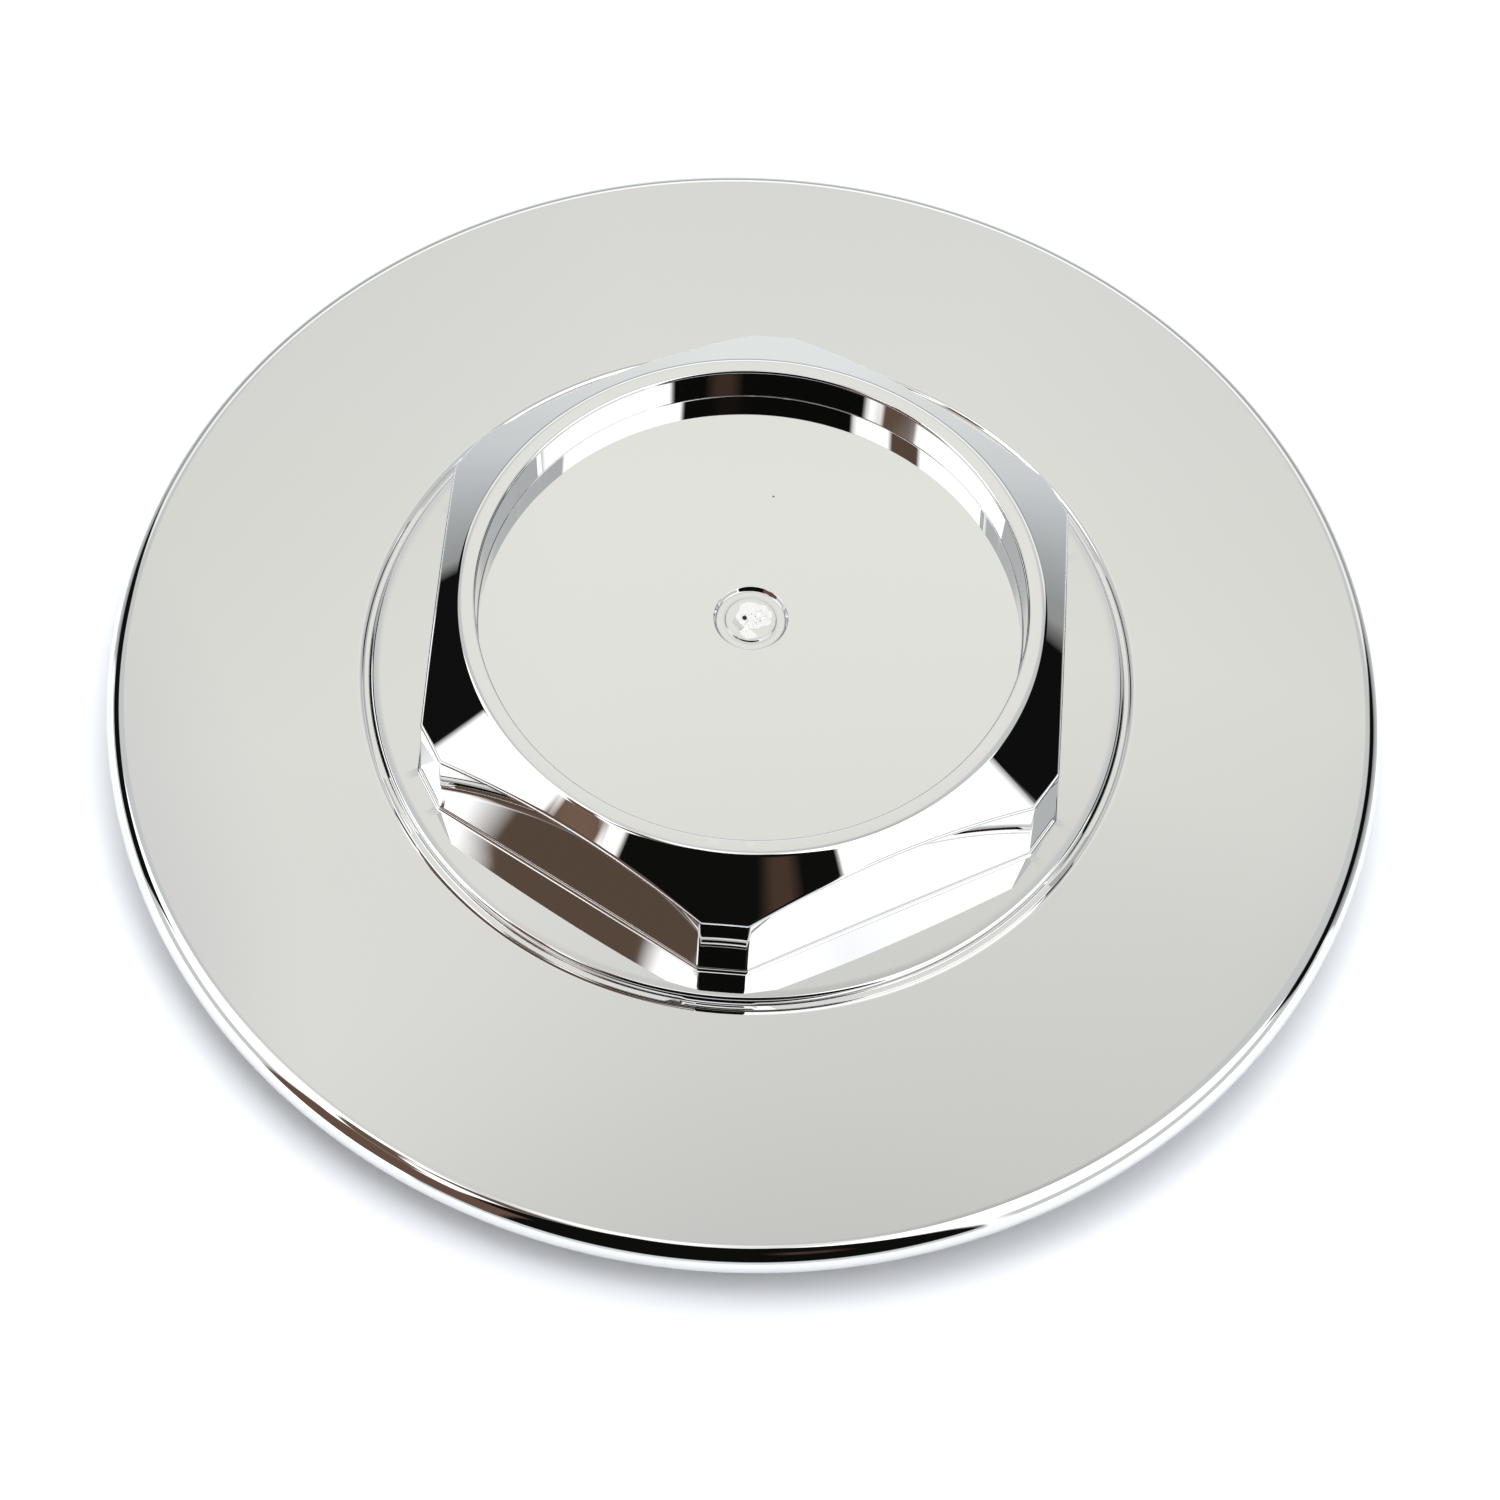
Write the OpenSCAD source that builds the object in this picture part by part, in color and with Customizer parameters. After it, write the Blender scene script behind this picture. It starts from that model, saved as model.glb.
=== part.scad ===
// Wheel center cap, moulded in one piece: a wide, gently coned flange, a raised ring with
// a groove at its foot, a hexagonal nut-style hub with truncated corners and a turned
// chamfer, and a round emblem recess in the hub's top. A collar with snap legs and
// stiffening ribs stands on the hidden back. The origin is on the axis, in the plane of
// the leg tips, and +Z points out through the hub.

/* [Flange] */
// Outside diameter of the flange
flange_d = 166; // [160:0.5:172]
// Distance that the snap legs reach past the flange's lower edge
leg_reach = 6; // [4:0.5:10]
// Height of the turned-down lip at the flange's edge
lip_h = 3.3; // [3.2:0.1:3.6]
// Radius of the rolled edge between the flange's face and its lip
lip_round = 2.6; // [1.6:0.1:2.8]
// Slope of the flange's face, falling outwards, in degrees
flange_slope = 2; // [1.5:0.1:3]
// Wall thickness of the moulding
wall = 2.5; // [2:0.1:2.8]

/* [Ring and groove] */
// Outside diameter of the groove between the flange and the ring
groove_d = 101; // [100:0.1:102]
// Depth of the groove below the flange's face
groove_h = 0.35; // [0.3:0.05:0.5]
// Radius that rounds the flange's face down into the groove
groove_round = 1.25; // [1:0.05:1.5]
// Width of the groove's level floor
floor_w = 0.6; // [0.4:0.1:0.8]
// Height of the steep step from the groove's floor up to the ring
step_h = 1; // [0.7:0.1:1.2]
// Width of the step, seen from above
step_w = 0.4; // [0.3:0.05:0.6]
// Radius that rounds the ring's outer edge
ring_round = 0.5; // [0.3:0.1:0.6]
// Slope of the ring round the hub, falling outwards, in degrees
ring_slope = 2.5; // [1:0.1:3]

/* [Hub] */
// Distance across the hexagon's flats at its foot
across_flats = 80.8; // [79:0.1:82]
// Distance across the truncated corners at the foot
across_corners = 89.8; // [88:0.1:91]
// Draft of the hexagon's walls, in degrees
hub_draft = 2.2; // [1:0.1:4]
// Height of the hub's rim above the flange's lower edge
hub_h = 21; // [19:0.1:23]
// Angle of the turned chamfer on top of the hexagon, in degrees
chamfer_angle = 32; // [28:0.5:34]
// Outer radius of the level rim round the recess
rim_r = 37; // [36.5:0.1:37.5]
// Radius that blends the rim into the chamfer
rim_round = 1.6; // [0.8:0.1:2]

/* [Emblem recess] */
// Radius of the recess at its mouth
recess_r = 34.9; // [34:0.1:35.2]
// Depth of the recess below the rim
recess_depth = 4.9; // [4:0.1:6]
// Draft of the recess wall, in degrees
recess_draft = 2.5; // [1:0.5:4]
// Rounding of the recess mouth
mouth_round = 0.4; // [0.2:0.1:0.6]
// Radius of the gate dimple in the middle of the recess floor
dimple_r = 4.75; // [4.5:0.05:6]
// Depth of the gate dimple
dimple_depth = 0.45; // [0.4:0.05:0.8]
// Radius of the low pad in the dimple
pad_r = 3.2; // [2.6:0.1:3.6]
// Radius of the stub left on the pad where the gate was cut off
stub_r = 1.3; // [0.8:0.1:1.8]

/* [Back] */
// Number of snap legs
legs = 12; // [8:1:14]
// Outer radius of the collar and its legs
collar_r = 53.5; // [53:0.1:55]
// Radial thickness of the collar and its legs
collar_t = 2.2; // [1.8:0.1:2.4]
// Depth of the collar below the flange's face
collar_h = 5.8; // [4.5:0.1:6.5]
// Share of each leg's pitch that the leg fills
leg_share = 0.58; // [0.4:0.01:0.7]
// Distance that a barb stands out of its leg
barb_out = 1.1; // [0.6:0.1:1.4]
// Thickness of the ribs between the hub and the collar
rib_t = 1.8; // [1.4:0.1:2.2]

/* [Hidden] */
$fn = 180;
flange_r = flange_d / 2;
groove_r = groove_d / 2;
flat_r = across_flats / 2;
corner_r = across_corners / 2;
// Centre of the rolled edge, and the point where the flange's face runs into it
edge_x = flange_r - lip_round;
edge_z = leg_reach + lip_h - lip_round;
face_out = edge_x + lip_round * sin(flange_slope);
face_low = edge_z + lip_round * cos(flange_slope);
foot_z = face_low + (face_out - groove_r) * tan(flange_slope);
// Centre of the rounding at the groove's outer edge, and where it meets the groove's floor
round_x = groove_r - groove_round * sin(flange_slope);
round_z = foot_z - groove_round * cos(flange_slope);
groove_z = foot_z - groove_h;
round_end = acos((groove_z - round_z) / groove_round);
step_out = round_x - groove_round * sin(round_end) - floor_w;
step_in = step_out - step_w;
// Height that the ring would have over the step, if its edge were not rounded
ring_z = groove_z + step_h;
// Height at which the truncated corners stand on the sloping ring
hub_foot = ring_z + (step_in - corner_r) * tan(ring_slope);
hub_top = leg_reach + hub_h;
floor_z = hub_top - recess_depth;
// The round blank that the hexagon is cut from reaches past its sharp corners
blank_r = flat_r / cos(30) + 1;
// Undersides of the ring and of the recess, and the outside of the recess wall
ring_under = hub_foot - wall;
cup_under = floor_z - wall;
cup_r = recess_r + 1.3 * wall;
// Thickness under the chamfer, measured upright
roof_t = wall / cos(chamfer_angle);
collar_low = foot_z - collar_h;
block = 120;

// Points of an arc from one angle to another, with both ends
function arc(x, y, r, from, to, steps) =
    [for (i = [0:steps]) let (a = from + (to - from) * i / steps) [x + r * cos(a), y + r * sin(a)]];

// Height of the turned chamfer's cone at radius r
function chamfer_z(r) = hub_top - (r - rim_r) * tan(chamfer_angle);

// Section of the ring, the groove and the flange, from the hollow of the hub outwards
module flange_section() {
    inner = flat_r - wall;
    lip_in = flange_r - 0.7 * wall;
    // The arc that rounds the ring's edge runs from the ring's direction to the step's
    step_lean = atan(step_w / step_h);
    reach = ring_round * tan((90 - ring_slope - step_lean) / 2);
    arc_x = step_in - reach * cos(ring_slope) - ring_round * sin(ring_slope);
    arc_z = ring_z + reach * sin(ring_slope) - ring_round * cos(ring_slope);
    polygon(concat(
        [[inner, ring_under], [inner, ring_z + (step_in - inner) * tan(ring_slope)]],
        arc(arc_x, arc_z, ring_round, 90 - ring_slope, step_lean, 5),
        [[step_out, groove_z]],
        arc(round_x, round_z, groove_round, 90 + round_end, 90 - flange_slope, 6),
        arc(edge_x, edge_z, lip_round, 90 - flange_slope, 0, 8),
        [[flange_r, leg_reach + 0.3], [flange_r - 0.3, leg_reach], [lip_in, leg_reach]],
        [[lip_in - 0.3, face_low - wall], [groove_r, foot_z - wall]],
        [[step_out - wall, ring_under]]));
}

// Section of the hub's round blank: plain wall, chamfer, blend and rim
module hub_blank_section() {
    blend_x = rim_r - rim_round * tan(chamfer_angle / 2);
    polygon(concat(
        [[0, hub_foot - 1], [blank_r, hub_foot - 1], [blank_r, chamfer_z(blank_r)]],
        arc(blend_x, hub_top - rim_round, rim_round, 90 - chamfer_angle, 90, 6),
        [[0, hub_top]]));
}

// Everything outside one flat wall that stands at this distance and leans in by the draft
module beyond_wall(distance) {
    translate([distance, 0, hub_foot])
        rotate([0, -hub_draft, 0])
            translate([0, -block / 2, -block / 2])
                cube(block);
}

// Cuts the children to a drafted hexagon with truncated corners
module cut_to_hexagon(flat, corner) {
    difference() {
        children();
        for (side = [0:5]) {
            rotate(60 * side) beyond_wall(flat);
            rotate(60 * side + 30) beyond_wall(corner);
        }
    }
}

// Outside of the hub, still solid
module hub_outside() {
    cut_to_hexagon(flat_r, corner_r) rotate_extrude() hub_blank_section();
}

// Hollow of the hub: flat under the recess, and up under the chamfer round the recess wall
module hub_hollow() {
    cut_to_hexagon(flat_r - wall, corner_r - wall)
        rotate_extrude()
            polygon([[0, -1], [blank_r, -1], [blank_r, chamfer_z(blank_r) - roof_t],
                     [cup_r, chamfer_z(cup_r) - roof_t], [cup_r, cup_under], [0, cup_under]]);
}

// Round recess for the emblem, with a rounded mouth and a drafted wall
module emblem_recess() {
    low_r = recess_r - recess_depth * tan(recess_draft);
    mouth_x = recess_r + mouth_round;
    rotate_extrude()
        polygon(concat(
            [[0, floor_z], [low_r, floor_z]],
            arc(mouth_x, hub_top - mouth_round, mouth_round, 180, 90, 5),
            [[mouth_x, hub_top + 1], [0, hub_top + 1]]));
}

// Shallow dimple round the moulding gate, with a bevelled edge
module gate_dimple() {
    translate([0, 0, floor_z - dimple_depth])
        cylinder(r1 = dimple_r - 0.4, r2 = dimple_r + 0.4, h = 2 * dimple_depth);
}

// Low pad in the dimple, and the stub left on it where the gate was cut off
module gate_mark() {
    translate([0, 0, floor_z - dimple_depth - 0.2]) {
        cylinder(r1 = pad_r + 0.2, r2 = pad_r, h = 0.35);
        cylinder(r1 = stub_r + 0.3, r2 = stub_r, h = 0.5);
    }
}

// Section of the collar and its legs: straight shank and a barb with a lead-in slope
module leg_section() {
    inner = collar_r - collar_t;
    barb_z = 0.55 * leg_reach;
    polygon([[inner, foot_z - 0.5], [inner, 0.5], [inner + 0.5, 0], [collar_r - 0.4, 0],
             [collar_r + barb_out, barb_z - 0.9], [collar_r + barb_out, barb_z - 0.4],
             [collar_r, barb_z], [collar_r, foot_z - 0.5]]);
}

// Slot between two legs, up to the collar, centred on the X axis
module slot() {
    sweep = 360 / legs * (1 - leg_share);
    rotate(-sweep / 2)
        rotate_extrude(angle = sweep)
            translate([collar_r - collar_t - 2, -1])
                square([collar_t + 2 * barb_out + 2, collar_low + 1]);
}

// Rib from the hub's corner wall out to the collar, deepest at the collar
module rib() {
    inner = corner_r - 0.6 * wall;
    outer = collar_r - 0.5 * collar_t;
    translate([0, rib_t / 2, 0])
        rotate([90, 0, 0])
            linear_extrude(rib_t)
                polygon([[inner, ring_under + 0.5], [inner, ring_under - 1],
                         [outer, collar_low - 1.5], [outer, foot_z - 0.5]]);
}

// Collar, legs and ribs on the back
module back() {
    difference() {
        rotate_extrude() leg_section();
        for (i = [0:legs - 1]) rotate(360 / legs * i) slot();
    }
    for (i = [0:legs - 1]) rotate(360 / legs * (i + 0.5)) rib();
}

// The whole moulding
module center_cap() {
    color("gainsboro") {
        difference() {
            union() {
                rotate_extrude() flange_section();
                hub_outside();
                back();
            }
            hub_hollow();
            emblem_recess();
            gate_dimple();
        }
        gate_mark();
    }
}

center_cap();
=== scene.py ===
"""Looks of a chromed wheel center cap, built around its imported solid.

The whole cap is one moulding. It is drawn as one section that turns round the axis, with
the hexagonal hub pressed into it, and the snap legs and ribs are added on its back.
Lengths inside the classes are in millimetres, and the finished mesh is in metres.
"""

import logging
import math
from dataclasses import dataclass, field

import bmesh
import bpy
from mathutils import Matrix, Vector, noise


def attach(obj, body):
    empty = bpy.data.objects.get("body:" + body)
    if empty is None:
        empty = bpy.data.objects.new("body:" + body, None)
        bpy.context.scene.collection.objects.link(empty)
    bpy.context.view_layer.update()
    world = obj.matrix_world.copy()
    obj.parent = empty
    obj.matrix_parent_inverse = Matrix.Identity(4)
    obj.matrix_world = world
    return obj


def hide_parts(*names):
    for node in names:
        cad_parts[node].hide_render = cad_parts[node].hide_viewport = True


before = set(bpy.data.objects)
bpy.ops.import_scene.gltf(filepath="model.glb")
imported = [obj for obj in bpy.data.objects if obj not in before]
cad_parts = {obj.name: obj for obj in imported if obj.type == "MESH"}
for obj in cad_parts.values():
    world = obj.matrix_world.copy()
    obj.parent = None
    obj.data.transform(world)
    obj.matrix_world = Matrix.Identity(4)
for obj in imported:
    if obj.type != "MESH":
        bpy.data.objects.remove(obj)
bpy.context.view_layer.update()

log = logging.getLogger("center_cap")

MM = 0.001
TOUCHING = 1e-4
ORIGIN, UPWARDS = (0.0, 0.0, 0.0), (0.0, 0.0, 1.0)
Point = tuple[float, float]
Span = tuple[float, float]
Colour = tuple[float, float, float]
Place = tuple[float, float, float]


def add_object(name: str, data: bpy.types.ID) -> bpy.types.Object:
    """Makes an object of a mesh, a lamp or a camera and puts it into the scene.

    Args:
        name: The object's name.
        data: The mesh, lamp or camera that it shows.

    Returns:
        The new object, at the origin.
    """
    made = bpy.data.objects.new(name, data)
    bpy.context.scene.collection.objects.link(made)
    return made


@dataclass(frozen=True)
class CapSizes:
    """Sizes of the moulding in millimetres, the same as the solid's."""

    flange_r: float = 83.0
    lip_z: float = 6.0
    lip_h: float = 3.3
    lip_round: float = 2.6
    flange_slope: float = 2.0
    wall: float = 2.5
    groove_r: float = 50.5
    groove_h: float = 0.35
    groove_round: float = 1.25
    floor_w: float = 0.6
    step_h: float = 1.0
    step_w: float = 0.4
    ring_round: float = 0.5
    ring_slope: float = 2.5
    flat_r: float = 40.4
    corner_r: float = 44.9
    hub_draft: float = 2.2
    hub_top: float = 27.0
    chamfer_angle: float = 32.0
    rim_r: float = 37.0
    rim_round: float = 1.6
    recess_r: float = 34.9
    recess_depth: float = 4.9
    recess_draft: float = 2.5
    mouth_round: float = 0.4
    dimple_r: float = 4.75
    dimple_depth: float = 0.45
    pad_r: float = 3.2
    pad_rise: float = 0.15
    stub_r: float = 1.3
    legs: int = 12
    collar_r: float = 53.5
    collar_t: float = 2.2
    collar_h: float = 5.8
    leg_share: float = 0.58
    barb_out: float = 1.1
    rib_t: float = 1.8

    @property
    def foot_z(self) -> float:
        """Height at which the flange's face rounds down into the groove.

        Returns:
            The height in millimetres.
        """
        slope = math.radians(self.flange_slope)
        face_out = self.flange_r - self.lip_round * (1 - math.sin(slope))
        face_low = self.lip_z + self.lip_h - self.lip_round * (1 - math.cos(slope))
        return face_low + (face_out - self.groove_r) * math.tan(slope)

    @property
    def groove_z(self) -> float:
        """Height of the groove's level floor."""
        return self.foot_z - self.groove_h

    @property
    def groove_turn(self) -> float:
        """Angle from upright at which the groove's rounding meets its floor."""
        drop = self.groove_h - self.groove_round * math.cos(math.radians(self.flange_slope))
        return math.acos(-drop / self.groove_round)

    @property
    def step_out(self) -> float:
        """Radius at the foot of the steep step.

        Returns:
            The radius in millimetres.
        """
        slope = math.sin(math.radians(self.flange_slope))
        turned = slope + math.sin(self.groove_turn)
        return self.groove_r - self.groove_round * turned - self.floor_w

    @property
    def ring_edge_r(self) -> float:
        """Radius at which the sloping ring ends in its steep step."""
        return self.step_out - self.step_w

    @property
    def floor_z(self) -> float:
        """Height of the recess floor."""
        return self.hub_top - self.recess_depth

    @property
    def hub_foot(self) -> float:
        """Height at which the truncated corners stand on the sloping ring."""
        return self.ring_z(self.corner_r)

    @property
    def ring_under(self) -> float:
        """Height of the underside of the sloping ring."""
        return self.hub_foot - self.wall

    @property
    def cup_under(self) -> float:
        """Height of the underside of the recess floor."""
        return self.floor_z - self.wall

    @property
    def collar_low(self) -> float:
        """Height of the collar's lower edge between the legs."""
        return self.foot_z - self.collar_h

    def ring_z(self, radius: float) -> float:
        """Height of the sloping ring round the hub at a radius."""
        rise = (self.ring_edge_r - radius) * math.tan(math.radians(self.ring_slope))
        return self.groove_z + self.step_h + rise

    def flange_z(self, radius: float) -> float:
        """Height of the flange's face at a radius."""
        fall = (radius - self.groove_r) * math.tan(math.radians(self.flange_slope))
        return self.foot_z - fall

    def chamfer_z(self, radius: float) -> float:
        """Height of the turned chamfer's cone at a radius."""
        fall = (radius - self.rim_r) * math.tan(math.radians(self.chamfer_angle))
        return self.hub_top - fall


@dataclass(frozen=True)
class HexagonWall:
    """Upright wall of a drafted hexagon with truncated corners and rounded edges."""

    flat: float
    corner: float
    foot: float
    draft: float
    edge_round: float

    def radius(self, azimuth: float, height: float) -> float:
        """Distance of the wall from the axis.

        Args:
            azimuth: Direction from the axis in degrees, with a corner at -90.
            height: Height above the leg tips.

        Returns:
            The wall's radius in that direction at that height.
        """
        lean = (height - self.foot) * math.tan(math.radians(self.draft))
        corner, flat = self.corner - lean, self.flat - lean
        turn = (azimuth + 90.0) % 60.0
        turn = math.radians(min(turn, 60.0 - turn))
        tilt = math.radians(30.0)
        inset = self.edge_round
        centre_x = corner - inset
        centre_y = ((flat - inset) - centre_x * math.cos(tilt)) / math.sin(tilt)
        start = math.atan2(centre_y, corner)
        end = math.atan2(
            centre_y + inset * math.sin(tilt), centre_x + inset * math.cos(tilt)
        )
        if turn <= start:
            return corner / math.cos(turn)
        if turn >= end:
            return flat / math.cos(tilt - turn)
        reach = math.hypot(centre_x, centre_y)
        offset = turn - math.atan2(centre_y, centre_x)
        across = reach * math.sin(offset)
        return reach * math.cos(offset) + math.sqrt(inset**2 - across**2)


@dataclass(frozen=True)
class Corner:
    """One corner of a section, with the radius that rounds it and its number of steps."""

    radius: float
    height: float
    round: float = 0.0
    steps: int = 0

    @property
    def place(self) -> Vector:
        """The corner's place in the section's plane."""
        return Vector((self.radius, self.height))


@dataclass(frozen=True)
class Room:
    """How much of a side the rounding at one of its ends may take."""

    fair_share: float = 0.48
    full_share: float = 0.98
    neighbour: float = 1.2

    def reach(self, side: float, other: Corner) -> float:
        """Longest reach along a side, which leaves its other corner's rounding whole."""
        spare = min(side - self.neighbour * other.round, self.full_share * side)
        return max(self.fair_share * side, spare)


def rounded(corners: list[Corner]) -> list[Point]:
    """Rounds the corners of an open section.

    Args:
        corners: The section's corners from one end to the other.

    Returns:
        The section's points, always as many for the same steps.
    """
    room = Room()
    points: list[Point] = [tuple(corners[0].place)]
    for before, here, after in zip(corners, corners[1:], corners[2:]):
        if here.steps == 0:
            points.append(tuple(here.place))
            continue
        into, out = before.place - here.place, after.place - here.place
        half = into.angle(out) / 2
        longest = min(room.reach(into.length, before), room.reach(out.length, after))
        straight = half > math.radians(89.9)
        reach = min(here.round / (1.0 if straight else math.tan(half)), longest)
        start = here.place + into.normalized() * reach
        end = here.place + out.normalized() * reach
        shares = [step / here.steps for step in range(here.steps + 1)]
        if straight:
            points += [tuple(start.lerp(end, share)) for share in shares]
            continue
        middle = (into.normalized() + out.normalized()).normalized()
        centre = here.place + middle * reach / math.cos(half)
        arm, last = start - centre, end - centre
        sweep = arm.angle_signed(last)
        for share in shares:
            turned = Matrix.Rotation(-sweep * share, 2)
            points.append(tuple(centre + turned @ arm))
    points.append(tuple(corners[-1].place))
    return points


@dataclass(frozen=True)
class CapSection:
    """Section of the moulding in any direction, from the top's middle to the back's.

    The crown softens the ring's outer band, and a point that lies on two surfaces is moved
    between them settle_steps times.
    """

    sizes: CapSizes = field(default_factory=CapSizes)
    edge_round: float = 0.9
    hollow_round: float = 0.5
    pad_rings: int = 11
    pad_pitch: float = 0.25
    crown_w: float = 0.9
    crown_round: float = 12.0
    crown_drop: float = 0.05
    settle_steps: int = 12

    @property
    def outer_wall(self) -> HexagonWall:
        """The hub's outside wall."""
        s = self.sizes
        return HexagonWall(s.flat_r, s.corner_r, s.hub_foot, s.hub_draft, self.edge_round)

    @property
    def inner_wall(self) -> HexagonWall:
        """The wall of the hollow inside the hub.

        Returns:
            The wall, one thickness inside the outer one.
        """
        s = self.sizes
        flat, corner = s.flat_r - s.wall, s.corner_r - s.wall
        return HexagonWall(flat, corner, s.hub_foot, s.hub_draft, self.hollow_round)

    def points(self, azimuth: float) -> list[Point]:
        """Points of the closed section in one direction.

        Args:
            azimuth: Direction from the axis in degrees.

        Returns:
            Radius and height of each point, from the recess out, round the lip and back.
        """
        corners = self._recess() + self._hub(azimuth) + self._flange()
        return rounded(corners + self._back() + self._hollow(azimuth))

    def _recess(self) -> list[Corner]:
        """Corners of the gate mark, the recess and the rim.

        Returns:
            The corners, from the middle of the pad to the rim's edge.
        """
        s = self.sizes
        dimple_z = s.floor_z - s.dimple_depth
        pad_z = dimple_z + s.pad_rise
        low_r = s.recess_r - s.recess_depth * math.tan(math.radians(s.recess_draft))
        rings = range(self.pad_rings + 1)
        return [Corner(self.pad_pitch * ring, pad_z) for ring in rings] + [
            Corner(s.pad_r, pad_z, 0.1, 3),
            Corner(s.pad_r + 0.12, dimple_z, 0.06, 2),
            Corner(s.dimple_r - 0.35, dimple_z, 0.2, 3),
            Corner(s.dimple_r, s.floor_z, 0.12, 4),
            Corner(low_r, s.floor_z, 0.12, 3),
            Corner(s.recess_r, s.hub_top, s.mouth_round, 7),
            Corner(s.rim_r, s.hub_top, s.rim_round, 8),
        ]

    def _hub(self, azimuth: float) -> list[Corner]:
        """Corners of the hub's wall: its top edge and its foot.

        Args:
            azimuth: Direction from the axis in degrees.

        Returns:
            The corner under the chamfer and the one on the ring.
        """
        s, wall = self.sizes, self.outer_wall
        top_r, foot_r = s.corner_r, s.corner_r
        for _ in range(self.settle_steps):
            top_r = wall.radius(azimuth, s.chamfer_z(top_r))
            foot_r = wall.radius(azimuth, s.ring_z(foot_r))
        return [
            Corner(top_r, s.chamfer_z(top_r), 0.8, 8),
            Corner(foot_r, s.ring_z(foot_r), 0.5, 7),
        ]

    def _flange(self) -> list[Corner]:
        """Corners of the ring's crown, the step, the groove and the flange's edge.

        Returns:
            The corners, from the ring out to the lip's lower edge.
        """
        s = self.sizes
        crown_r = s.ring_edge_r - self.crown_w
        crown_z = s.ring_z(crown_r)
        edge_z = s.ring_z(s.ring_edge_r) - self.crown_drop
        half = math.tan((s.groove_turn + math.radians(s.flange_slope)) / 2)
        slope = math.radians(s.flange_slope)
        bend_r = s.groove_r - s.groove_round * half * math.cos(slope)
        bend_z = s.foot_z + s.groove_round * half * math.sin(slope)
        return [
            Corner(crown_r, crown_z, self.crown_round, 4),
            Corner(s.ring_edge_r, edge_z, s.ring_round, 8),
            Corner(s.step_out, s.groove_z, 0.15, 4),
            Corner(s.step_out + s.floor_w, s.groove_z),
            Corner(bend_r, bend_z, s.groove_round, 10),
            Corner(s.flange_r, s.flange_z(s.flange_r), s.lip_round, 16),
            Corner(s.flange_r, s.lip_z, 0.3, 4),
        ]

    def _back(self) -> list[Corner]:
        """Corners of the lip's inside, the flange's underside and the collar.

        Returns:
            The corners, from the lip in to the underside of the ring.
        """
        s = self.sizes
        lip_in = s.flange_r - 0.7 * s.wall
        collar_in = s.collar_r - s.collar_t
        return [
            Corner(lip_in, s.lip_z, 0.3, 3),
            Corner(lip_in - 0.3, s.flange_z(lip_in) - s.wall, 0.5, 4),
            Corner(s.collar_r, s.flange_z(s.collar_r) - s.wall, 0.5, 4),
            Corner(s.collar_r, s.collar_low, 0.25, 3),
            Corner(collar_in, s.collar_low, 0.25, 3),
            Corner(collar_in, s.foot_z - s.wall, 0.5, 4),
            Corner(s.groove_r - 0.3, s.foot_z - s.wall, 0.3, 2),
            Corner(s.step_out - s.wall, s.ring_under, 0.6, 3),
        ]

    def _hollow(self, azimuth: float) -> list[Corner]:
        """Corners of the hollow under the hub, with a pocket under each corner.

        Args:
            azimuth: Direction from the axis in degrees.

        Returns:
            As many corners in every direction, from the mouth to the middle.
        """
        s, wall = self.sizes, self.inner_wall
        roof_t = s.wall / math.cos(math.radians(s.chamfer_angle))
        cup_r = s.recess_r + 1.3 * s.wall
        low_r = wall.radius(azimuth, s.ring_under)
        edge_r = wall.radius(azimuth, s.cup_under)
        mouth = Corner(low_r, s.ring_under, 0.35, 3)
        middle = Corner(0.0, s.cup_under)
        if edge_r < cup_r + 0.1:
            return [
                mouth,
                Corner(edge_r, s.cup_under, 0.4, 3),
                Corner(edge_r - 1.0, s.cup_under, 0.3, 3),
                Corner(edge_r - 2.0, s.cup_under, 0.3, 3),
                middle,
            ]
        roof_r = edge_r
        for _ in range(self.settle_steps):
            roof_r = wall.radius(azimuth, s.chamfer_z(roof_r) - roof_t)
        return [
            mouth,
            Corner(roof_r, s.chamfer_z(roof_r) - roof_t, 0.4, 3),
            Corner(cup_r, s.chamfer_z(cup_r) - roof_t, 0.4, 3),
            Corner(cup_r, s.cup_under, 0.3, 3),
            middle,
        ]


@dataclass(frozen=True)
class Columns:
    """How the section's directions are spread round the axis.

    Each sixth of a turn has the same spread, closer together at the hub's upright edges.
    """

    facet: int = 4
    edge: int = 14
    flat: int = 22
    edge_start: float = 3.1
    edge_end: float = 4.6

    @property
    def count(self) -> int:
        """Number of directions in a full turn."""
        return 12 * (self.facet + self.edge + self.flat)

    def azimuth(self, index: int) -> float:
        """Direction of a column in degrees, with column 0 at -90, on a corner.

        Args:
            index: The column's number, counted from the front corner.

        Returns:
            The direction from the axis in degrees.
        """
        half = self.count // 12
        sixth, place = divmod(index, 2 * half)
        step = place if place <= half else 2 * half - place
        if step <= self.facet:
            turn = self.edge_start * step / self.facet
        elif step <= self.facet + self.edge:
            share = (step - self.facet) / self.edge
            turn = self.edge_start + (self.edge_end - self.edge_start) * share
        else:
            share = (step - self.facet - self.edge) / self.flat
            turn = self.edge_end + (30.0 - self.edge_end) * share
        if place > half:
            turn = 60.0 - turn
        return -90.0 + 60.0 * sixth + turn


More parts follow.
